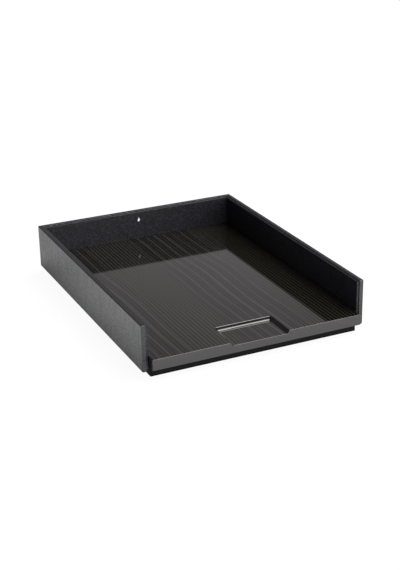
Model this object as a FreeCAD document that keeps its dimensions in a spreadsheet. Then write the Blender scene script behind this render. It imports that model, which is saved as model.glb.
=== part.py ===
import FreeCAD, Part
import os
import re
import Sketcher

# A letter tray: a lacquered wood floor panel between three leather-covered walls, carried on a low plinth
# that nests between the walls of a like tray below it. Millimetres. X runs across the tray, Y from its open
# front to its rear wall and Z up. The origin lies on the desk, under the middle of the tray's overall box.

SIZES = (
    # The whole tray
    ("tray_width", 255.0, "across the outer faces of the side walls"),
    ("wall_depth", 321.5, "from the walls' front ends to the outer face of the rear wall"),
    ("wall_height", 51.1, "from the walls' lower edge to their rim"),
    ("fit_gap", 0.3, "clearance round a piece that is let into another"),
    # The walls, from outside to inside
    ("cover_thick", 1.4, "leather cover"),
    ("board_thick", 3.6, "wall board under the cover"),
    ("lining_thick", 2.3, "lining on the inner face of the board"),
    ("rim_step", 1.3, "how far a lining stays behind the rim, the front end and the lower edge"),
    ("rim_round", 1.0, "rounding of the covers' outer edges"),
    ("rim_inner_round", 0.7, "rounding of the covers' inner edges along the rim and the front ends"),
    ("lining_round", 0.8, "rounding of the linings' free edges"),
    # The floor panel
    ("floor_thick", 12.0, "thickness of the panel"),
    ("floor_rise", 16.0, "from the walls' lower edge to the top of the panel"),
    ("lip_reach", 8.7, "how far the panel stands out in front of the walls"),
    ("lip_corner", 1.0, "rounding of the panel's front corners, seen from above"),
    ("lip_round", 0.6, "rounding along the panel's front edges"),
    # The finger recess in the front edge of the panel
    ("recess_width", 67.0, "from side to side at the top"),
    ("recess_length", 41.2, "from the panel's front edge to the back of the recess at the top"),
    ("recess_depth", 3.4, "below the top of the panel"),
    ("recess_corner", 3.6, "rounding of the back corners, seen from above"),
    ("recess_side_run", 1.6, "how far each side slopes inward down to the bottom"),
    ("recess_back_run", 3.1, "how far the back slopes forward down to the bottom"),
    ("recess_fillet", 3.2, "hollow rounding round the bottom"),
    ("recess_round", 1.4, "rounding of the upper edge"),
    # The plinth
    ("plinth_drop", 6.5, "how far the plinth reaches below the walls"),
    ("nest_gap", 1.3, "clearance to the linings of the tray that the plinth nests in"),
    ("rail_width", 16.0, "width of a plinth rail"),
    ("rail_round", 1.0, "rounding of the rails' outer lower edges"),
    # The feet
    ("foot_diameter", 12.0, "rubber foot"),
    ("foot_thick", 2.0, "from its seat to the desk"),
    ("foot_stand", 0.8, "how far a foot stands out below the plinth"),
    ("foot_round", 0.4, "rounding of a foot's lower edge"),
    ("foot_inset", 14.0, "from the plinth's outer side to the middle of a foot"),
    # The keyhole in the rear lining, for hanging the tray on a small screw, and the opening behind it
    ("keyhole_diameter", 3.7, "round opening that the screw's head goes through"),
    ("keyhole_slot", 1.5, "width of the slot above it"),
    ("keyhole_lift", 3.2, "from the middle of the round opening to the middle of the slot's end"),
    ("keyhole_drop", 12.3, "from the rim down to the middle of the round opening"),
    ("keyhole_room", 16.0, "round opening behind the keyhole, through the board and the cover"),
    # Countersunk screws through the wall boards into the panel's edges
    ("wall_screw_diameter", 3.0, "over the thread"),
    ("wall_screw_head", 5.6, "across the head"),
    ("wall_screw_length", 16.0, "from the top of the head to the tip"),
    ("wall_screw_end", 48.0, "from the end of a wall to its outermost screws"),
    # Countersunk screws up through the plinth rails into the panel
    ("rail_screw_diameter", 3.5, "over the thread"),
    ("rail_screw_head", 6.6, "across the head"),
    ("rail_screw_length", 16.0, "from the top of the head to the tip"),
    ("rail_screw_end", 60.0, "from the end of a rail to its screws"),
    # What the screws share
    ("head_sink", 0.3, "how far a head lies below the surface"),
    ("drive_slot", 1.0, "width of the cross recess in a head"),
    ("drive_margin", 1.0, "from the end of the cross recess to the edge of the head"),
    ("drive_depth", 1.1, "depth of the cross recess"),
    ("tip_length", 3.0, "length of a screw's point"),
)

# Heights above the desk
WALL_FOOT = "(foot_stand + plinth_drop)"
FLOOR_TOP = f"({WALL_FOOT} + floor_rise)"
FLOOR_UNDER = f"({FLOOR_TOP} - floor_thick)"
BOARD_HEIGHT = "(wall_height - 2 * cover_thick)"
LINING_FOOT = f"({WALL_FOOT} + rim_step)"
LINING_HEIGHT = "(wall_height - 2 * rim_step)"
RAIL_HEIGHT = f"({FLOOR_UNDER} - foot_stand)"
WALL_SCREW_RISE = f"({FLOOR_TOP} - floor_thick / 2)"
KEYHOLE_MIDDLE = f"({WALL_FOOT} + wall_height - keyhole_drop)"

# Distances from the tray's middle plane
SIDE_OUT = "(tray_width / 2)"
BOARD_OUT = f"({SIDE_OUT} - cover_thick)"
BOARD_IN = f"({BOARD_OUT} - board_thick)"
LINING_IN = f"({BOARD_IN} - lining_thick)"
PANEL_SIDE = f"({LINING_IN} - fit_gap)"
PLINTH_SIDE = f"({LINING_IN} - nest_gap)"

# Places from front to rear
LIP_FRONT = "(-(wall_depth + lip_reach) / 2)"
WALL_FRONT = f"({LIP_FRONT} + lip_reach)"
WALL_REAR = f"({WALL_FRONT} + wall_depth)"
REAR_BOARD_OUT = f"({WALL_REAR} - cover_thick)"
REAR_BOARD_IN = f"({REAR_BOARD_OUT} - board_thick)"
REAR_LINING_IN = f"({REAR_BOARD_IN} - lining_thick)"
PANEL_REAR = f"({REAR_LINING_IN} - fit_gap)"
RECESS_BACK = f"({LIP_FRONT} + recess_length)"
PLINTH_FRONT = WALL_FRONT
PLINTH_REAR = f"({REAR_LINING_IN} - nest_gap)"

LEFT, RIGHT = -1, 1
SIDES = ((LEFT, "left"), (RIGHT, "right"))
HEAD_ANGLE = 90.0
WALL_SCREW_BORE = "(wall_screw_diameter + 2 * fit_gap)"
TINY = 1e-4

doc = FreeCAD.newDocument("LetterTray")
sheet = doc.addObject("Spreadsheet::Sheet", "Sizes")


def fill_sheet():
    """Write each driving size into the sheet under its own alias."""
    for row, (alias, value, note) in enumerate(SIZES, 1):
        sheet.set(f"A{row}", alias)
        sheet.set(f"B{row}", str(value))
        sheet.setAlias(f"B{row}", alias)
        sheet.set(f"C{row}", note)
    doc.recompute()


def cells(text):
    """Turn an expression in plain size names into one that refers to the sheet's cells."""
    return re.sub(r"[a-z_]+", lambda word: f"Sizes.{word.group()}", str(text))


def number(text):
    """Give the present value of an expression in size names."""
    return float(sheet.evalExpression(cells(text)))


def bind(item, path, text):
    """Tie one property of an object to an expression in size names."""
    item.setExpression(path, cells(text))


def new_body(name, rise):
    """Start a piece whose own base plane lies at the given height."""
    body = doc.addObject("PartDesign::Body", name)
    body.Label = name
    bind(body, "Placement.Base.z", rise)
    return body


def new_sketch(body, name, plane="XY_Plane", offset="0"):
    """Start a sketch on one of the body's own origin planes, or at a distance along that plane's normal."""
    sketch = body.newObject("Sketcher::SketchObject", f"{body.Name}_{name}")
    support = next(item for item in body.Origin.OriginFeatures if item.Role == plane)
    sketch.AttachmentSupport = [(support, "")]
    sketch.MapMode = "FlatFace"
    bind(sketch, "AttachmentOffset.Base.z", offset)
    return sketch


def hold_point(sketch, geometry, point, place):
    """Fix a sketch point by expressions for its two distances from the sketch's origin."""
    for kind, axis, text in (("DistanceX", -2, place[0]), ("DistanceY", -1, place[1])):
        if text == "0":
            sketch.addConstraint(Sketcher.Constraint("PointOnObject", geometry, point, axis))
            continue
        row = sketch.addConstraint(Sketcher.Constraint(kind, -1, 1, geometry, point, number(text)))
        bind(sketch, f"Constraints[{row}]", text)


def draw_outline(sketch, corners):
    """Draw a closed outline through corners given as pairs of expressions."""
    points = [FreeCAD.Vector(number(x), number(y), 0) for x, y in corners]
    last = len(corners) - 1
    for index, point in enumerate(points):
        sketch.addGeometry(Part.LineSegment(point, points[0 if index == last else index + 1]))
    for index in range(len(corners)):
        following = 0 if index == last else index + 1
        sketch.addConstraint(Sketcher.Constraint("Coincident", index, 2, following, 1))
    for index, corner in enumerate(corners):
        hold_point(sketch, index, 1, corner)


def draw_rectangle(sketch, low, high):
    """Draw a rectangle between two opposite corners."""
    draw_outline(sketch, ((low[0], low[1]), (high[0], low[1]), (high[0], high[1]), (low[0], high[1])))


def draw_circles(sketch, diameter, places):
    """Draw equal circles at places given as pairs of expressions."""
    for index, place in enumerate(places):
        centre = FreeCAD.Vector(number(place[0]), number(place[1]), 0)
        sketch.addGeometry(Part.Circle(centre, FreeCAD.Vector(0, 0, 1), number(diameter) / 2))
        row = sketch.addConstraint(Sketcher.Constraint("Diameter", index, number(diameter)))
        bind(sketch, f"Constraints[{row}]", diameter)
        hold_point(sketch, index, 3, place)


def pad(body, sketch, length):
    """Raise a sketch into a solid along its normal."""
    feature = body.newObject("PartDesign::Pad", f"{sketch.Name}_pad")
    feature.Profile = sketch
    bind(feature, "Length", length)
    doc.recompute()


def pocket(body, sketch, length, along_normal=False):
    """Cut a sketch into the solid, and stop if nothing was cut away."""
    before = body.Shape.Volume
    feature = body.newObject("PartDesign::Pocket", f"{sketch.Name}_cut")
    feature.Profile = sketch
    feature.Reversed = along_normal
    bind(feature, "Length", length)
    doc.recompute()
    if body.Shape.Volume > before - TINY:
        raise RuntimeError(f"{feature.Name} cuts nothing")


def hollow_between(body, upper, lower):
    """Cut away the flat-sided space between two outlines, and stop if nothing was cut away."""
    doc.recompute()
    before = body.Shape.Volume
    feature = body.newObject("PartDesign::SubtractiveLoft", f"{upper.Name}_hollow")
    feature.Profile = upper
    feature.Sections = [lower]
    feature.Ruled = True
    doc.recompute()
    if body.Shape.Volume > before - TINY:
        raise RuntimeError(f"{feature.Name} cuts nothing")


def countersunk_holes(body, sketch, diameter, head, along_normal=False):
    """Drill clearance holes for countersunk screws right through the piece, from the sketch's side."""
    doc.recompute()
    before = body.Shape.Volume
    feature = body.newObject("PartDesign::Hole", f"{sketch.Name}_holes")
    feature.Profile = sketch
    feature.Reversed = along_normal
    feature.DepthType = "ThroughAll"
    feature.HoleCutType = "Countersink"
    feature.HoleCutCountersinkAngle = HEAD_ANGLE
    bind(feature, "Diameter", f"{diameter} + 2 * fit_gap")
    bind(feature, "HoleCutDiameter", f"{head} + 2 * fit_gap + 2 * head_sink")
    doc.recompute()
    if body.Shape.Volume > before - TINY:
        raise RuntimeError(f"{feature.Name} cuts nothing")


def round_edges(body, name, radius, chosen):
    """Round those edges of the piece whose middle point passes the given test."""
    tip = body.Tip
    names = []
    for index, edge in enumerate(tip.Shape.Edges, 1):
        middle = edge.valueAt((edge.FirstParameter + edge.LastParameter) / 2)
        if chosen(middle, edge):
            names.append(f"Edge{index}")
    feature = body.newObject("PartDesign::Fillet", f"{body.Name}_{name}")
    feature.Base = (tip, names)
    bind(feature, "Radius", radius)
    doc.recompute()


def near(value, text, slack=0.01):
    """Say whether a measure lies at the place that an expression gives."""
    return abs(value - number(text)) < slack


def upright(edge):
    """Say whether an edge runs straight up."""
    straight = edge.Curve.TypeId == "Part::GeomLine"
    return straight and abs(abs(edge.tangentAt(edge.FirstParameter).z) - 1) < TINY


def wall_screw_stations():
    """Give the places of a side wall's screws from front to rear, and of the rear wall's across."""
    front = f"({WALL_FRONT} + wall_screw_end)"
    rear = f"({WALL_REAR} - wall_screw_end)"
    along = (front, f"(({front} + {rear}) / 2)", rear)
    aside = f"({BOARD_IN} - wall_screw_end)"
    return along, (f"(-{aside})", "0", aside)


def rail_screw_places():
    """Give the places of the plinth's screws, two in each rail."""
    across = f"({PLINTH_SIDE} - rail_screw_end)"
    front = f"({PLINTH_FRONT} + rail_width / 2)"
    rear = f"({PLINTH_REAR} - rail_width / 2)"
    aside = f"({PLINTH_SIDE} - rail_width / 2)"
    near_end = f"({PLINTH_FRONT} + rail_width + rail_screw_end)"
    far_end = f"({PLINTH_REAR} - rail_width - rail_screw_end)"
    return {
        "front": [(f"(-{across})", front), (across, front)],
        "rear": [(f"(-{across})", rear), (across, rear)],
        "left": [(f"(-{aside})", near_end), (f"(-{aside})", far_end)],
        "right": [(aside, near_end), (aside, far_end)],
    }


def foot_places():
    """Give the places of the feet under the ends of the front and rear rails."""
    aside = f"({PLINTH_SIDE} - foot_inset)"
    front = f"({PLINTH_FRONT} + rail_width / 2)"
    rear = f"({PLINTH_REAR} - rail_width / 2)"
    return {
        "front": [("left", f"(-{aside})", front), ("right", aside, front)],
        "rear": [("left", f"(-{aside})", rear), ("right", aside, rear)],
    }


def floor_panel():
    """Make the wood panel with its front lip, finger recess and pilot holes."""
    body = new_body("floor_panel", FLOOR_UNDER)
    plan = new_sketch(body, "plan")
    draw_rectangle(plan, (f"-{PANEL_SIDE}", LIP_FRONT), (PANEL_SIDE, PANEL_REAR))
    pad(body, plan, "floor_thick")
    cut_recess(body)
    round_panel(body)
    cut_panel_pilots(body)
    return body


def cut_recess(body):
    """Sink the finger recess into the front edge of the panel and round it all over."""
    half = "(recess_width / 2)"
    low_half = f"({half} - recess_side_run)"
    bottom = "(floor_thick - recess_depth)"
    before_lip = f"{LIP_FRONT} - recess_depth"
    upper = new_sketch(body, "recess_upper", offset="floor_thick")
    draw_rectangle(upper, (f"-{half}", before_lip), (half, RECESS_BACK))
    lower = new_sketch(body, "recess_lower", offset=bottom)
    draw_rectangle(lower, (f"-{low_half}", before_lip), (low_half, f"{RECESS_BACK} - recess_back_run"))
    hollow_between(body, upper, lower)

    def in_recess(middle):
        inside = abs(middle.x) < number(half) + TINY
        return inside and number(LIP_FRONT) + TINY < middle.y < number(RECESS_BACK) + TINY

    def back_corner(middle, edge):
        return in_recess(middle) and near(middle.z, "floor_thick - recess_depth / 2")

    def bottom_edge(middle, edge):
        return in_recess(middle) and near(middle.z, bottom)

    def upper_edge(middle, edge):
        return in_recess(middle) and near(middle.z, "floor_thick")

    round_edges(body, "recess_corners", "recess_corner", back_corner)
    round_edges(body, "recess_bottom", "recess_fillet", bottom_edge)
    round_edges(body, "recess_rim", "recess_round", upper_edge)


def round_panel(body):
    """Round the panel's front corners, then the edges along its front."""
    def front_corner(middle, edge):
        return near(middle.y, LIP_FRONT) and near(abs(middle.x), PANEL_SIDE) and upright(edge)

    def front_edge(middle, edge):
        return near(middle.y, LIP_FRONT)

    round_edges(body, "lip_corners", "lip_corner", front_corner)
    round_edges(body, "lip_edges", "lip_round", front_edge)


def cut_panel_pilots(body):
    """Drill the pilot holes for the wall screws and for the plinth screws."""
    along, across = wall_screw_stations()
    wall_depth_in = "wall_screw_length - board_thick - lining_thick + fit_gap"
    for side, name in SIDES:
        face = new_sketch(body, f"{name}_pilots", "YZ_Plane", f"{side} * {PANEL_SIDE}")
        draw_circles(face, WALL_SCREW_BORE, [(place, "floor_thick / 2") for place in along])
        pocket(body, face, wall_depth_in, along_normal=side == LEFT)
    face = new_sketch(body, "rear_pilots", "XZ_Plane", f"-{PANEL_REAR}")
    draw_circles(face, WALL_SCREW_BORE, [(place, "floor_thick / 2") for place in across])
    pocket(body, face, wall_depth_in, along_normal=True)
    under = new_sketch(body, "rail_pilots")
    places = [place for rail in rail_screw_places().values() for place in rail]
    draw_circles(under, "rail_screw_diameter + 2 * fit_gap", places)
    pocket(body, under, f"rail_screw_length + head_sink - {RAIL_HEIGHT} + fit_gap", along_normal=True)


def side_wall_board(side, name):
    """Make a side wall's board, with clearance holes for its screws."""
    body = new_body(f"{name}_wall_board", f"{WALL_FOOT} + cover_thick")
    plan = new_sketch(body, "plan")
    draw_rectangle(plan, (f"{side} * {BOARD_IN}", f"{WALL_FRONT} + cover_thick"),
                   (f"{side} * {BOARD_OUT}", f"{WALL_REAR} - cover_thick"))
    pad(body, plan, BOARD_HEIGHT)
    face = new_sketch(body, "screws", "YZ_Plane", f"{side} * {BOARD_OUT}")
    level = f"{WALL_SCREW_RISE} - {WALL_FOOT} - cover_thick"
    draw_circles(face, "wall_screw_diameter", [(place, level) for place in wall_screw_stations()[0]])
    countersunk_holes(body, face, "wall_screw_diameter", "wall_screw_head", along_normal=side == LEFT)
    return body


def rear_wall_board():
    """Make the rear wall's board between the side walls, with its screw holes and the keyhole's room."""
    body = new_body("rear_wall_board", f"{WALL_FOOT} + cover_thick")
    plan = new_sketch(body, "plan")
    draw_rectangle(plan, (f"-{BOARD_IN}", REAR_BOARD_IN), (BOARD_IN, REAR_BOARD_OUT))
    pad(body, plan, BOARD_HEIGHT)
    face = new_sketch(body, "screws", "XZ_Plane", f"-{REAR_BOARD_OUT}")
    level = f"{WALL_SCREW_RISE} - {WALL_FOOT} - cover_thick"
    draw_circles(face, "wall_screw_diameter", [(place, level) for place in wall_screw_stations()[1]])
    countersunk_holes(body, face, "wall_screw_diameter", "wall_screw_head", along_normal=True)
    cut_keyhole_room(body, f"{WALL_FOOT} + cover_thick", REAR_BOARD_OUT, "board_thick")
    return body


def cut_keyhole(body):
    """Cut the keyhole through the rear lining."""
    middle = f"{KEYHOLE_MIDDLE} - {LINING_FOOT}"
    opening = new_sketch(body, "keyhole_opening", "XZ_Plane", f"-{REAR_BOARD_IN}")
    draw_circles(opening, "keyhole_diameter", [("0", middle)])
    pocket(body, opening, "lining_thick", along_normal=True)
    slot = new_sketch(body, "keyhole_slot", "XZ_Plane", f"-{REAR_BOARD_IN}")
    draw_rectangle(slot, ("-keyhole_slot / 2", middle), ("keyhole_slot / 2", f"{middle} + keyhole_lift"))
    pocket(body, slot, "lining_thick", along_normal=True)
    end = new_sketch(body, "keyhole_end", "XZ_Plane", f"-{REAR_BOARD_IN}")
    draw_circles(end, "keyhole_slot", [("0", f"{middle} + keyhole_lift")])
    pocket(body, end, "lining_thick", along_normal=True)


def cut_keyhole_room(body, rise, outer_face, thick):
    """Cut the round opening behind the keyhole through one layer of the rear wall."""
    middle = f"{KEYHOLE_MIDDLE} + keyhole_lift / 4 - ({rise})"
    room = new_sketch(body, "keyhole_room", "XZ_Plane", f"-{outer_face}")
    draw_circles(room, "keyhole_room", [("0", middle)])
    pocket(body, room, thick, along_normal=True)


def side_wall_cover(side, name):
    """Make the leather round a side wall's board: outer face, rim, lower edge and both ends."""
    body = new_body(f"{name}_wall_cover", WALL_FOOT)
    plan = new_sketch(body, "plan")
    draw_rectangle(plan, (f"{side} * {BOARD_IN}", WALL_FRONT), (f"{side} * {SIDE_OUT}", WALL_REAR))
    pad(body, plan, "wall_height")
    hollow = new_sketch(body, "hollow", offset="cover_thick")
    draw_rectangle(hollow, (f"{side} * ({BOARD_IN} - cover_thick)", f"{WALL_FRONT} + cover_thick"),
                   (f"{side} * {BOARD_OUT}", f"{WALL_REAR} - cover_thick"))
    pocket(body, hollow, BOARD_HEIGHT, along_normal=True)

    def outer_edge(middle, edge):
        at_end = near(middle.y, WALL_FRONT) or near(middle.y, WALL_REAR)
        at_rim = near(middle.z, "0") or near(middle.z, "wall_height")
        at_side = near(abs(middle.x), SIDE_OUT)
        return at_end + at_rim + at_side == 2

    def inner_edge(middle, edge):
        at_front = near(middle.y, WALL_FRONT)
        at_top = near(middle.z, "wall_height")
        return near(abs(middle.x), BOARD_IN) and (at_front or at_top)

    round_edges(body, "edges", "rim_round", outer_edge)
    round_edges(body, "inner_edges", "rim_inner_round", inner_edge)
    return body


def rear_wall_cover():
    """Make the leather round the rear wall's board: outer face, rim and lower edge."""
    body = new_body("rear_wall_cover", WALL_FOOT)
    plan = new_sketch(body, "plan")
    draw_rectangle(plan, (f"-{BOARD_IN}", REAR_BOARD_IN), (BOARD_IN, WALL_REAR))
    pad(body, plan, "wall_height")
    hollow = new_sketch(body, "hollow", offset="cover_thick")
    draw_rectangle(hollow, (f"-{SIDE_OUT}", f"{REAR_BOARD_IN} - cover_thick"), (SIDE_OUT, REAR_BOARD_OUT))
    pocket(body, hollow, BOARD_HEIGHT, along_normal=True)

    def outer_edge(middle, edge):
        at_rim = near(middle.z, "0") or near(middle.z, "wall_height")
        return at_rim and near(middle.y, WALL_REAR)

    def inner_edge(middle, edge):
        return near(middle.z, "wall_height") and near(middle.y, REAR_BOARD_IN)

    round_edges(body, "edges", "rim_round", outer_edge)
    round_edges(body, "inner_edges", "rim_inner_round", inner_edge)
    cut_keyhole_room(body, WALL_FOOT, WALL_REAR, "cover_thick")
    return body


def side_wall_lining(side, name):
    """Make the lining of a side wall, a step behind the edges of the cover, with holes for the screws."""
    body = new_body(f"{name}_wall_lining", LINING_FOOT)
    plan = new_sketch(body, "plan")
    draw_rectangle(plan, (f"{side} * {LINING_IN}", f"{WALL_FRONT} + rim_step"),
                   (f"{side} * {BOARD_IN}", REAR_BOARD_IN))
    pad(body, plan, LINING_HEIGHT)

    def free_edge(middle, edge):
        at_front = near(middle.y, f"{WALL_FRONT} + rim_step")
        at_top = near(middle.z, LINING_HEIGHT)
        return near(abs(middle.x), LINING_IN) and (at_front or at_top)

    round_edges(body, "edges", "lining_round", free_edge)
    face = new_sketch(body, "screws", "YZ_Plane", f"{side} * {BOARD_IN}")
    level = f"{WALL_SCREW_RISE} - {LINING_FOOT}"
    draw_circles(face, WALL_SCREW_BORE, [(place, level) for place in wall_screw_stations()[0]])
    pocket(body, face, "lining_thick", along_normal=side == LEFT)
    return body


def rear_wall_lining():
    """Make the rear wall's lining between the side linings, with holes for the screws and the keyhole."""
    body = new_body("rear_wall_lining", LINING_FOOT)
    plan = new_sketch(body, "plan")
    draw_rectangle(plan, (f"-{LINING_IN}", REAR_LINING_IN), (LINING_IN, REAR_BOARD_IN))
    pad(body, plan, LINING_HEIGHT)

    def free_edge(middle, edge):
        return near(middle.z, LINING_HEIGHT) and near(middle.y, REAR_LINING_IN)

    round_edges(body, "edges", "lining_round", free_edge)
    face = new_sketch(body, "screws", "XZ_Plane", f"-{REAR_BOARD_IN}")
    level = f"{WALL_SCREW_RISE} - {LINING_FOOT}"
    draw_circles(face, WALL_SCREW_BORE, [(place, level) for place in wall_screw_stations()[1]])
    pocket(body, face, "lining_thick", along_normal=True)
    cut_keyhole(body)
    return body


def plinth_rail(name, low, high, outer_edge):
    """Make one rail of the plinth, with its rounded outer edge, screw holes and seats for the feet."""
    body = new_body(f"plinth_{name}_rail", "foot_stand")
    plan = new_sketch(body, "plan")
    draw_rectangle(plan, low, high)
    pad(body, plan, RAIL_HEIGHT)
    round_edges(body, "edges", "rail_round", outer_edge)
    screws = new_sketch(body, "screws")
    draw_circles(screws, "rail_screw_diameter", rail_screw_places()[name])
    countersunk_holes(body, screws, "rail_screw_diameter", "rail_screw_head", along_normal=True)
    feet = foot_places().get(name, ())
    if feet:
        seats = new_sketch(body, "foot_seats")
        draw_circles(seats, "foot_diameter + 2 * fit_gap", [place[1:] for place in feet])
        pocket(body, seats, "foot_thick - foot_stand", along_normal=True)
    return body


def plinth_rails():
    """Make the front and rear rails across the tray, and the side rails between them."""
    def front_edges(middle, edge):
        at_corner = near(abs(middle.x), PLINTH_SIDE) and upright(edge)
        return near(middle.y, PLINTH_FRONT) and (near(middle.z, "0") or at_corner)

    def rear_edges(middle, edge):
        at_corner = near(abs(middle.x), PLINTH_SIDE) and upright(edge)
        return near(middle.y, PLINTH_REAR) and (near(middle.z, "0") or at_corner)

    def side_edges(middle, edge):
        return near(abs(middle.x), PLINTH_SIDE) and near(middle.z, "0")

    front_inner = f"{PLINTH_FRONT} + rail_width"
    rear_inner = f"{PLINTH_REAR} - rail_width"
    side_inner = f"({PLINTH_SIDE} - rail_width)"
    rails = [
        plinth_rail("front", (f"-{PLINTH_SIDE}", PLINTH_FRONT), (PLINTH_SIDE, front_inner), front_edges),
        plinth_rail("rear", (f"-{PLINTH_SIDE}", rear_inner), (PLINTH_SIDE, PLINTH_REAR), rear_edges),
    ]
    for side, name in SIDES:
        low = (f"{side} * {side_inner}", front_inner)
        high = (f"{side} * {PLINTH_SIDE}", rear_inner)
        rails.append(plinth_rail(name, low, high, side_edges))
    return rails


def feet():
    """Make the four rubber feet in their seats under the plinth."""
    made = []
    for end, places in foot_places().items():
        for name, across, along in places:
            body = new_body(f"foot_{end}_{name}", "0")
            bind(body, "Placement.Base.x", across)
            bind(body, "Placement.Base.y", along)
            disc = new_sketch(body, "disc")
            draw_circles(disc, "foot_diameter", [("0", "0")])
            pad(body, disc, "foot_thick")
            round_edges(body, "edge", "foot_round", lambda middle, edge: near(middle.z, "0"))
            made.append(body)
    return made


def screw_form(name, diameter, head, length):
    """Make one countersunk screw with a cross recess, its head's top at the origin and its tip below."""
    body = new_body(name, "0")
    profile = new_sketch(body, "profile", "XZ_Plane")
    head_depth = f"(({head} - {diameter}) / 2)"
    draw_outline(profile, (
        ("0", "0"),
        (f"{head} / 2", "0"),
        (f"{diameter} / 2", f"-{head_depth}"),
        (f"{diameter} / 2", f"-({length} - tip_length)"),
        ("0", f"-{length}"),
    ))
    turned = body.newObject("PartDesign::Revolution", f"{name}_turned")
    turned.Profile = profile
    turned.ReferenceAxis = (profile, ["V_Axis"])
    doc.recompute()
    cross = new_sketch(body, "cross")
    arm = f"({head} / 2 - drive_margin)"
    half = "(drive_slot / 2)"
    corners = []
    for along_x, along_y in ((1, 1), (-1, 1), (-1, -1), (1, -1)):
        tips = [(f"{along_x} * {arm}", f"{along_y} * {half}"), (f"{along_x} * {half}", f"{along_y} * {arm}")]
        inner = (f"{along_x} * {half}", f"{along_y} * {half}")
        first, last = tips if along_x * along_y > 0 else tips[::-1]
        corners += [first, inner, last]
    draw_outline(cross, corners)
    pocket(body, cross, "drive_depth")
    return body


def screw_group(name, form, places):
    """Set copies of one screw at the given places and turns, and gather them in one node."""
    copies = []
    for index, (turn, place) in enumerate(places, 1):
        copy = doc.addObject("App::Link", f"{name}_{index}")
        copy.LinkedObject = form
        copy.Placement = FreeCAD.Placement(FreeCAD.Vector(), turn)
        for axis, text in zip("xyz", place):
            bind(copy, f"Placement.Base.{axis}", text)
        copies.append(copy)
    group = doc.addObject("Part::Compound", name)
    group.Label = name
    group.Links = copies
    return group


def wall_screws():
    """Make the screws that hold the wall boards to the edges of the panel."""
    form = screw_form("wall_screw_form", "wall_screw_diameter", "wall_screw_head", "wall_screw_length")
    along, across = wall_screw_stations()
    places = []
    for side, _ in SIDES:
        turn = FreeCAD.Rotation(FreeCAD.Vector(0, 1, 0), side * 90)
        head = f"{side} * ({BOARD_OUT} - head_sink)"
        places += [(turn, (head, place, WALL_SCREW_RISE)) for place in along]
    turn = FreeCAD.Rotation(FreeCAD.Vector(1, 0, 0), -90)
    head = f"{REAR_BOARD_OUT} - head_sink"
    places += [(turn, (place, head, WALL_SCREW_RISE)) for place in across]
    return screw_group("wall_screws", form, places)


def plinth_screws():
    """Make the screws that hold the plinth rails to the underside of the panel."""
    form = screw_form("plinth_screw_form", "rail_screw_diameter", "rail_screw_head", "rail_screw_length")
    turn = FreeCAD.Rotation(FreeCAD.Vector(1, 0, 0), 180)
    head = "foot_stand + head_sink"
    places = [(turn, (x, y, head)) for rail in rail_screw_places().values() for x, y in rail]
    return screw_group("plinth_screws", form, places)


def build():
    """Make every piece of the tray and return those that are written out."""
    fill_sheet()
    pieces = [floor_panel()]
    pieces += [side_wall_board(side, name) for side, name in SIDES] + [rear_wall_board()]
    pieces += [side_wall_cover(side, name) for side, name in SIDES] + [rear_wall_cover()]
    pieces += [side_wall_lining(side, name) for side, name in SIDES] + [rear_wall_lining()]
    pieces += plinth_rails() + feet()
    pieces += [wall_screws(), plinth_screws()]
    doc.recompute()
    return pieces


def check(pieces):
    """Stop if any object failed or any piece is not a sound solid."""
    failed = [item.Name for item in doc.Objects if {"Invalid", "Error"} & set(item.State)]
    unsound = [piece.Label for piece in pieces if piece.Shape.isNull() or not piece.Shape.isValid()]
    if failed or unsound:
        raise RuntimeError(f"failed objects {failed}, unsound pieces {unsound}")


def write(pieces):
    """Write each piece to its own file."""
    os.makedirs("parts", exist_ok=True)
    for piece in pieces:
        piece.Shape.exportStep(f"parts/{piece.Label}.step")
        print(piece.Label, len(piece.Shape.Solids), round(piece.Shape.Volume), piece.Shape.BoundBox)


tray = build()
check(tray)
write(tray)
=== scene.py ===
import math

import bpy
from mathutils import Matrix, Vector


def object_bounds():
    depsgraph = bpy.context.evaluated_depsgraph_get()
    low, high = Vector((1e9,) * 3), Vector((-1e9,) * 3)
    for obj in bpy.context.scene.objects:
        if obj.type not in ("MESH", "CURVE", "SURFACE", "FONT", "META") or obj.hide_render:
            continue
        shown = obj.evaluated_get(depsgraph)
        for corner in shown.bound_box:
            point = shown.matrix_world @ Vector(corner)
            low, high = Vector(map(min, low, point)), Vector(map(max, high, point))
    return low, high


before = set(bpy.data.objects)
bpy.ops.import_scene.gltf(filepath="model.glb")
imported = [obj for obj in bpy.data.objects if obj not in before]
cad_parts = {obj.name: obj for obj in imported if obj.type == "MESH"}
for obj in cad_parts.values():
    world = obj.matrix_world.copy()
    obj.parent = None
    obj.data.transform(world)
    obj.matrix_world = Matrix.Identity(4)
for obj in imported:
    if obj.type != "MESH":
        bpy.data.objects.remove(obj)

MM = 0.001
cad_low, cad_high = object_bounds()


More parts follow.
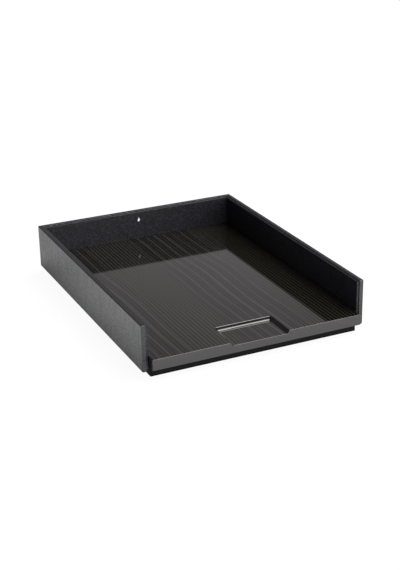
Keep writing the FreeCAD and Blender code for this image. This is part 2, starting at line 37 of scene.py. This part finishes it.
class NodeTree:
    """A node tree that is filled call by call: most calls add one node and return what comes out of it."""

    def __init__(self, tree):
        self.tree = tree

    def feed(self, socket, value):
        """Link a socket to what comes out of another node, or set its own value."""
        if isinstance(value, bpy.types.NodeSocket):
            self.tree.links.new(value, socket)
        else:
            socket.default_value = value

    def node(self, kind, inputs=None, **settings):
        """Add a node with its settings, and feed its inputs by name or by number."""
        made = self.tree.nodes.new(kind)
        for name, value in settings.items():
            setattr(made, name, value)
        for key, value in (inputs or {}).items():
            self.feed(made.inputs[key], value)
        return made

    def sums(self, operation, first, second=0.0, third=0.0):
        made = self.node("ShaderNodeMath", {0: first, 1: second, 2: third}, operation=operation)
        return made.outputs[0]

    def vectors(self, operation, first, second=(0.0, 0.0, 0.0), result="Vector"):
        made = self.node("ShaderNodeVectorMath", {0: first, 1: second}, operation=operation)
        return made.outputs[result]

    def axes(self, vector):
        """Split a vector into its X, Y and Z."""
        return self.node("ShaderNodeSeparateXYZ", {0: vector}).outputs

    def spread(self, value, source, target, smooth=False):
        """Take a value from one range to another, held at the ends."""
        inputs = {"Value": value, "From Min": source[0], "From Max": source[1],
                  "To Min": target[0], "To Max": target[1]}
        kind = "SMOOTHSTEP" if smooth else "LINEAR"
        return self.node("ShaderNodeMapRange", inputs, interpolation_type=kind).outputs[0]


class Finish(NodeTree):
    """A node material for one of the tray's finishes, on Object coordinates."""

    def __init__(self, name, ior):
        self.material = bpy.data.materials.new(name)
        self.material.use_nodes = True
        super().__init__(self.material.node_tree)
        self.shader = self.tree.nodes["Principled BSDF"]
        self.shader.inputs["IOR"].default_value = ior
        self.coordinates = self.node("ShaderNodeTexCoord").outputs
        self.place = self.coordinates["Object"]

    def facing_up(self):
        """Tell tops from sides: 1 where the surface faces up, 0 where it stands upright."""
        return self.axes(self.coordinates["Normal"])["Z"]

    def noise(self, waves, detail=2.0, roughness=0.5):
        """Soft noise with so many waves in a metre, the same on all axes or one number for each."""
        where, scale = self.place, waves
        if isinstance(waves, tuple):
            where = self.node("ShaderNodeMapping", {"Vector": self.place, "Scale": waves}).outputs[0]
            scale = 1.0
        inputs = {"Vector": where, "Scale": scale, "Detail": detail, "Roughness": roughness}
        return self.node("ShaderNodeTexNoise", inputs).outputs["Fac"]

    def cells(self, where, scale, feature):
        inputs = {"Vector": where, "Scale": scale}
        return self.node("ShaderNodeTexVoronoi", inputs, feature=feature).outputs["Distance"]

    def tint(self, factor, dark, light):
        """Mix two colours, each written as numbers or coming out of another node."""
        dark, light = ((*shade, 1.0) if isinstance(shade, tuple) else shade for shade in (dark, light))
        return self.node("ShaderNodeMix", {0: factor, 6: dark, 7: light}, data_type="RGBA").outputs[2]

    def colour(self, value):
        self.feed(self.shader.inputs["Base Color"], value)

    def roughen(self, value):
        self.feed(self.shader.inputs["Roughness"], value)

    def relief(self, height, depth, strength=1.0, lean=None):
        """Put a height on the surface, on top of its own lean where that is given."""
        inputs = {"Height": height, "Distance": depth, "Strength": strength}
        if lean is not None:
            facing = self.node("ShaderNodeNewGeometry").outputs["Normal"]
            inputs["Normal"] = self.vectors("NORMALIZE", self.vectors("ADD", facing, lean))
        self.feed(self.shader.inputs["Normal"], self.node("ShaderNodeBump", inputs).outputs[0])


def lacquered_floor_wood():
    """Black-stained veneer under gloss lacquer: tight grain with bands of single pale lines."""
    wood = Finish("lacquered_floor_wood", ior=1.8)
    across, along, _ = wood.axes(wood.place)
    facing = wood.facing_up()
    on_top = wood.spread(facing, (0.6, 0.95), (0.0, 1.0))
    upright = wood.spread(wood.sums("ABSOLUTE", facing), (0.05, 0.3), (1.0, 0.0))

    def stripes(pitch, lean, sway_width, low, high, steadiness):
        """Swaying lines: low and high set their breadth, and steadiness how faint a single one may be."""
        sway = wood.noise((9.0, 8.0, 9.0), detail=1.0)
        leaning = wood.sums("MULTIPLY_ADD", along, lean, across)
        bent = wood.sums("MULTIPLY_ADD", wood.sums("SUBTRACT", sway, 0.5), sway_width, leaning)
        turns = wood.sums("DIVIDE", bent, pitch)
        swing = wood.sums("COSINE", wood.sums("MULTIPLY", turns, 2.0 * math.pi))
        line = wood.spread(swing, (low, high), (0.0, 1.0), smooth=True)
        number = wood.sums("ROUND", turns)
        chance = wood.node("ShaderNodeTexWhiteNoise", {"W": number}, noise_dimensions="1D").outputs["Value"]
        return wood.sums("MULTIPLY", line, wood.spread(chance, (0.0, 1.0), (steadiness, 1.0)))

    def band(left, right, ease=6.0 * MM):
        rising = wood.spread(across, (left - ease, left + ease), (0.0, 1.0), smooth=True)
        falling = wood.spread(across, (right - ease, right + ease), (1.0, 0.0), smooth=True)
        return wood.sums("MULTIPLY", rising, falling)

    tight = stripes(pitch=4.2 * MM, lean=0.004, sway_width=2.0 * MM, low=-0.25, high=0.75, steadiness=0.75)
    wide = stripes(pitch=11.6 * MM, lean=0.024, sway_width=12.0 * MM, low=0.45, high=1.0, steadiness=0.5)
    middle_band = band(-16.0 * MM, 62.0 * MM)
    left_band = band(-140.0 * MM, -74.0 * MM)
    lined = wood.sums("ADD", middle_band, left_band)
    plain = wood.sums("MULTIPLY_ADD", lined, -0.5, 1.0)
    fading = wood.spread(wood.noise((40.0, 9.0, 40.0)), (0.3, 0.7), (0.6, 1.0))
    fibre = wood.noise((900.0, 14.0, 900.0), detail=3.0, roughness=0.6)

    grain = wood.sums("MULTIPLY", tight, plain)
    shade = wood.sums("MULTIPLY_ADD", wood.sums("SUBTRACT", fibre, 0.5), 0.5, grain)
    veneer = wood.tint(shade, dark=(0.0010, 0.0008, 0.0004), light=(0.0420, 0.0386, 0.0278))
    line = wood.sums("MULTIPLY", wood.sums("MULTIPLY", wide, lined), fading)
    top = wood.tint(line, dark=veneer, light=(0.0460, 0.0440, 0.0400))
    edge = wood.tint(fibre, dark=(0.0195, 0.0165, 0.0172), light=(0.0312, 0.0265, 0.0277))
    wood.colour(wood.tint(on_top, edge, top))

    satin_edge = 0.25
    polish = wood.spread(shade, (0.0, 1.0), (0.045, 0.07))
    wood.roughen(wood.sums("MULTIPLY_ADD", upright, satin_edge, polish))

    # The panel mirrors the rims as if it fell off by a degree to the rear and the right
    fall_right, fall_rear = 0.0155, 0.0119
    falls = {"X": wood.sums("MULTIPLY", on_top, fall_right), "Y": wood.sums("MULTIPLY", on_top, fall_rear)}
    lean = wood.node("ShaderNodeCombineXYZ", falls).outputs[0]
    peel = wood.noise(180.0, detail=1.0)
    ridges = wood.sums("MULTIPLY_ADD", line, 3.0, peel)
    wood.relief(wood.sums("MULTIPLY", ridges, on_top), 0.0015 * MM, lean=lean)
    return wood.material


def grained_black_leather():
    """Satin black leather: pebbles, fine creases and a soft upright mottle; painted shade darkens the rims,
    which are also duller.
    """
    hide = Finish("grained_black_leather", ior=1.66)
    wander = hide.node("ShaderNodeTexNoise", {"Vector": hide.place, "Scale": 350.0, "Detail": 2.0})
    shift = hide.vectors("MULTIPLY", wander.outputs["Color"], (0.8 * MM, 0.8 * MM, 0.8 * MM))
    where = hide.vectors("ADD", hide.place, shift)
    pebble = hide.cells(where, 700.0, "SMOOTH_F1")
    crease = hide.cells(where, 330.0, "DISTANCE_TO_EDGE")
    hair = hide.noise(2600.0)
    mottle = hide.noise((110.0, 110.0, 35.0), detail=3.0)
    swell = hide.noise(260.0)
    upright = hide.spread(hide.sums("ABSOLUTE", hide.facing_up()), (0.3, 0.9), (1.0, 0.15))
    high = hide.sums("SUBTRACT", hide.spread(crease, (0.0, 0.25), (0.0, 1.0), smooth=True), pebble)
    grain = hide.sums("MULTIPLY_ADD", hair, 0.25, high)

    shade = hide.spread(grain, (-0.6, 0.9), (0.0, 1.0))
    tone = hide.tint(shade, dark=(0.0085, 0.0093, 0.0115), light=(0.0215, 0.0230, 0.0280))
    # Painted shade: the faces that point up (the rims) are mixed far towards a near-black colour
    hide.colour(hide.tint(upright, dark=(0.0030, 0.0032, 0.0040), light=tone))

    mottled = hide.spread(mottle, (0.3, 0.7), (0.21, 0.31))
    rubbed = hide.spread(high, (-0.6, 0.8), (0.05, -0.03))
    dulled_rim = hide.spread(upright, (0.15, 1.0), (0.25, 0.0))
    hide.roughen(hide.sums("ADD", hide.sums("ADD", mottled, rubbed), dulled_rim))

    height = hide.sums("MULTIPLY_ADD", swell, hide.sums("MULTIPLY", upright, 9.0), grain)
    hide.relief(height, 0.12 * MM, strength=0.8)
    return hide.material


def speckled_lining():
    """Matt blue-black lining with a fine pale speckle."""
    lining = Finish("speckled_lining", ior=1.56)
    speck = lining.noise(700.0, roughness=0.6)
    cloud = lining.noise(60.0)
    dots = lining.spread(speck, (0.42, 0.64), (0.0, 1.0), smooth=True)
    shade = lining.sums("MULTIPLY", dots, lining.spread(cloud, (0.3, 0.7), (0.75, 1.0)))
    lining.colour(lining.tint(shade, dark=(0.0022, 0.0020, 0.0033), light=(0.0405, 0.0381, 0.0590)))
    lining.roughen(lining.spread(speck, (0.3, 0.7), (0.56, 0.44)))
    lining.relief(speck, 0.06 * MM, strength=0.6)
    return lining.material


def stained_rail(name, waves):
    """Matt black stain on solid wood, with a faint grain along the rail."""
    rail = Finish(name, ior=1.3)
    grain = rail.noise(waves, detail=3.0, roughness=0.6)
    shade = rail.spread(grain, (0.35, 0.7), (0.0, 1.0))
    rail.colour(rail.tint(shade, dark=(0.0020, 0.0021, 0.0027), light=(0.0054, 0.0055, 0.0069)))
    rail.roughen(rail.spread(grain, (0.3, 0.7), (0.55, 0.68)))
    rail.relief(grain, 0.08 * MM, strength=0.5)
    return rail.material


def dyed_fibreboard():
    """Black-dyed pressed fibre, seen only in the round opening behind the keyhole."""
    board = Finish("dyed_fibreboard", ior=1.45)
    fibre = board.noise((300.0, 900.0, 900.0), detail=3.0, roughness=0.6)
    board.colour(board.tint(fibre, dark=(0.018, 0.0165, 0.015), light=(0.045, 0.042, 0.039)))
    board.roughen(0.8)
    board.relief(fibre, 0.1 * MM, strength=0.5)
    return board.material


def matt_rubber():
    """Black rubber with a moulded matt skin."""
    rubber = Finish("matt_rubber", ior=1.5)
    skin = rubber.noise(1500.0)
    rubber.colour(rubber.tint(skin, dark=(0.018, 0.018, 0.018), light=(0.034, 0.034, 0.034)))
    rubber.roughen(rubber.spread(skin, (0.3, 0.7), (0.62, 0.78)))
    rubber.relief(skin, 0.05 * MM, strength=0.4)
    return rubber.material


def zinc_steel():
    """Zinc-plated steel, slightly blotchy."""
    steel = Finish("zinc_steel", ior=2.0)
    steel.shader.inputs["Metallic"].default_value = 1.0
    blotch = steel.noise(400.0, detail=3.0)
    steel.colour(steel.tint(blotch, dark=(0.36, 0.36, 0.37), light=(0.52, 0.52, 0.53)))
    steel.roughen(steel.spread(blotch, (0.3, 0.7), (0.26, 0.42)))
    steel.relief(blotch, 0.02 * MM, strength=0.3)
    return steel.material


finishes = {
    "floor_wood": lacquered_floor_wood(),
    "wall_leather": grained_black_leather(),
    "wall_lining": speckled_lining(),
    "wall_board": dyed_fibreboard(),
    "plinth_along_x": stained_rail("stained_rail_across", (12.0, 500.0, 500.0)),
    "plinth_along_y": stained_rail("stained_rail_deep", (500.0, 12.0, 500.0)),
    "foot_rubber": matt_rubber(),
    "screw_steel": zinc_steel(),
}
piece_finish = {
    "floor_panel": "floor_wood",
    "plinth_front_rail": "plinth_along_x",
    "plinth_rear_rail": "plinth_along_x",
    "plinth_left_rail": "plinth_along_y",
    "plinth_right_rail": "plinth_along_y",
    "wall_screws": "screw_steel",
    "plinth_screws": "screw_steel",
}
for wall in ("left", "right", "rear"):
    piece_finish[wall + "_wall_cover"] = "wall_leather"
    piece_finish[wall + "_wall_lining"] = "wall_lining"
    piece_finish[wall + "_wall_board"] = "wall_board"
for corner in ("front_left", "front_right", "rear_left", "rear_right"):
    piece_finish["foot_" + corner] = "foot_rubber"

for name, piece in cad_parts.items():
    for slot in piece.material_slots:
        slot.material = finishes[piece_finish[name]]


def pale_floor():
    """White to the camera but for some plain paper, which takes the shadow; painted shade and light for the
    tray's gloss.
    """
    pale = bpy.data.materials.new("pale_floor")
    pale.use_nodes = True
    nodes = NodeTree(pale.node_tree)
    nodes.tree.nodes.clear()
    path = nodes.node("ShaderNodeLightPath").outputs
    place = nodes.node("ShaderNodeTexCoord").outputs["Object"]
    along = nodes.axes(place)["Y"]

    # Painted shade and light, seen only in the tray's gloss: a painted shadow dim beside the walls, dimmer to
    # the rear, and painted light bright before the lip
    outside = nodes.vectors("SUBTRACT", nodes.vectors("ABSOLUTE", place), (cad_high[0], cad_high[1], 0.0))
    away = nodes.vectors("LENGTH", nodes.vectors("MAXIMUM", outside), result="Value")
    aside = nodes.spread(away, (0.0, 55.0 * MM), (0.30, 1.17))
    rear_painted_shade = nodes.spread(along, (20.0 * MM, 280.0 * MM), (1.06, 0.66), smooth=True)
    before = nodes.spread(along, (-150.0 * MM, -172.0 * MM), (0.0, 0.93))
    mirrored = nodes.sums("MAXIMUM", nodes.sums("MULTIPLY", aside, rear_painted_shade), before)

    white_level, white_share = 1.05, 0.90
    glossy = path["Is Glossy Ray"]
    level = nodes.node("ShaderNodeMix", {0: glossy, 2: white_level, 3: mirrored}).outputs[0]
    white = nodes.node("ShaderNodeEmission", {"Strength": level}).outputs[0]
    paper = nodes.node("ShaderNodeBsdfDiffuse", {"Color": (0.85, 0.85, 0.85, 1.0)}).outputs[0]
    share = nodes.sums("MULTIPLY_ADD", path["Is Camera Ray"], white_share, glossy)
    shown = nodes.node("ShaderNodeMixShader", {0: share, 1: paper, 2: white}).outputs[0]
    nodes.node("ShaderNodeOutputMaterial", {"Surface": shown})
    return pale


def studio_floor():
    """A level square under the tray, far wider than the view."""
    half = 6.0
    corners = [(-half, -half, 0.0), (half, -half, 0.0), (half, half, 0.0), (-half, half, 0.0)]
    mesh = bpy.data.meshes.new("studio_floor")
    mesh.from_pydata(corners, [], [(0, 1, 2, 3)])
    mesh.materials.append(pale_floor())
    ground = bpy.data.objects.new("studio_floor", mesh)
    bpy.context.scene.collection.objects.link(ground)


def studio_surroundings():
    """A pale cove low down and walls that fade upwards, brightest behind the tray; white to the camera."""
    world = bpy.data.worlds.new("studio_surroundings")
    bpy.context.scene.world = world
    world.use_nodes = True
    nodes = NodeTree(world.node_tree)
    nodes.tree.nodes.clear()
    toward = nodes.node("ShaderNodeTexCoord").outputs["Generated"]
    to_right, to_rear, upward = nodes.axes(toward)

    # The walls fade upwards, later on the right, and they are dimmer far to the right
    fade = nodes.vectors("DOT_PRODUCT", toward, (0.525, 0.0, -2.0), result="Value")
    wall = nodes.spread(fade, (-0.78, -0.33), (0.09, 0.52))
    behind = nodes.spread(to_rear, (0.0, 0.5), (0.25, 1.0), smooth=True)
    aside = nodes.spread(to_right, (0.43, 0.53), (1.0, 0.65), smooth=True)
    walls = nodes.sums("MULTIPLY", nodes.sums("MULTIPLY", wall, behind), aside)
    cove = nodes.spread(upward, (0.02, 0.14), (0.55, 0.0), smooth=True)
    level = nodes.sums("MAXIMUM", cove, walls)

    room = nodes.node("ShaderNodeBackground", {"Color": (1.0, 0.961, 1.0, 1.0), "Strength": level}).outputs[0]
    white = nodes.node("ShaderNodeBackground", {"Color": (1.0, 1.0, 1.0, 1.0)}).outputs[0]
    to_camera = nodes.node("ShaderNodeLightPath").outputs["Is Camera Ray"]
    shown = nodes.node("ShaderNodeMixShader", {0: to_camera, 1: room, 2: white}).outputs[0]
    nodes.node("ShaderNodeOutputWorld", {"Surface": shown})


def softbox(name, direction, width, strength, mirrored=True):
    """A broad lamp far off, with its width as an angle in degrees; gloss shows it only if it is mirrored."""
    lamp = bpy.data.lights.new(name, "SUN")
    lamp.angle = math.radians(width)
    lamp.energy = strength
    box = bpy.data.objects.new(name, lamp)
    box.visible_glossy = mirrored
    away = Vector(direction).normalized()
    box.location = away * 2.0
    box.rotation_euler = away.to_track_quat("Z", "Y").to_euler()
    bpy.context.scene.collection.objects.link(box)


def photo_camera():
    """The photo's viewpoint, solved on the corners of the tray's walls."""
    azimuth = math.radians(-24.646)
    elevation = math.radians(22.911)
    roll = math.radians(-1.093)
    distance = 1396.08 * MM
    aside = 9.556 * MM
    upward = 8.886 * MM
    walls_centre = Vector((0.0, 4.35, 7.3)) * MM
    focal_pixels = 1221.5
    photo_height_pixels = 570.0
    film_width = 36.0

    level = math.cos(elevation)
    back = Vector((math.sin(azimuth) * level, -math.cos(azimuth) * level, math.sin(elevation)))
    right = (-back).cross(Vector((0.0, 0.0, 1.0))).normalized()
    up = back.cross(right)
    turned_right = right * math.cos(roll) + up * math.sin(roll)
    turned_up = up * math.cos(roll) - right * math.sin(roll)
    place = walls_centre + back * distance + turned_right * aside + turned_up * upward
    turn = Matrix((turned_right, turned_up, back)).transposed().to_4x4()

    lens = bpy.data.cameras.new("photo_camera")
    lens.sensor_width = film_width
    lens.lens = focal_pixels * film_width / photo_height_pixels
    lens.clip_end = 50.0
    camera = bpy.data.objects.new("photo_camera", lens)
    camera.matrix_world = Matrix.Translation(place) @ turn
    bpy.context.scene.collection.objects.link(camera)
    bpy.context.scene.camera = camera


studio_floor()
studio_surroundings()
softbox("top_softbox", direction=(0.36, 0.04, 0.93), width=42.0, strength=2.1)
softbox("front_softbox", direction=(0.25, -0.93, 0.25), width=60.0, strength=1.17)
softbox("side_softbox", direction=(0.88, -0.35, 0.30), width=76.0, strength=1.8, mirrored=False)
photo_camera()
bpy.context.scene.view_settings.view_transform = "Standard"
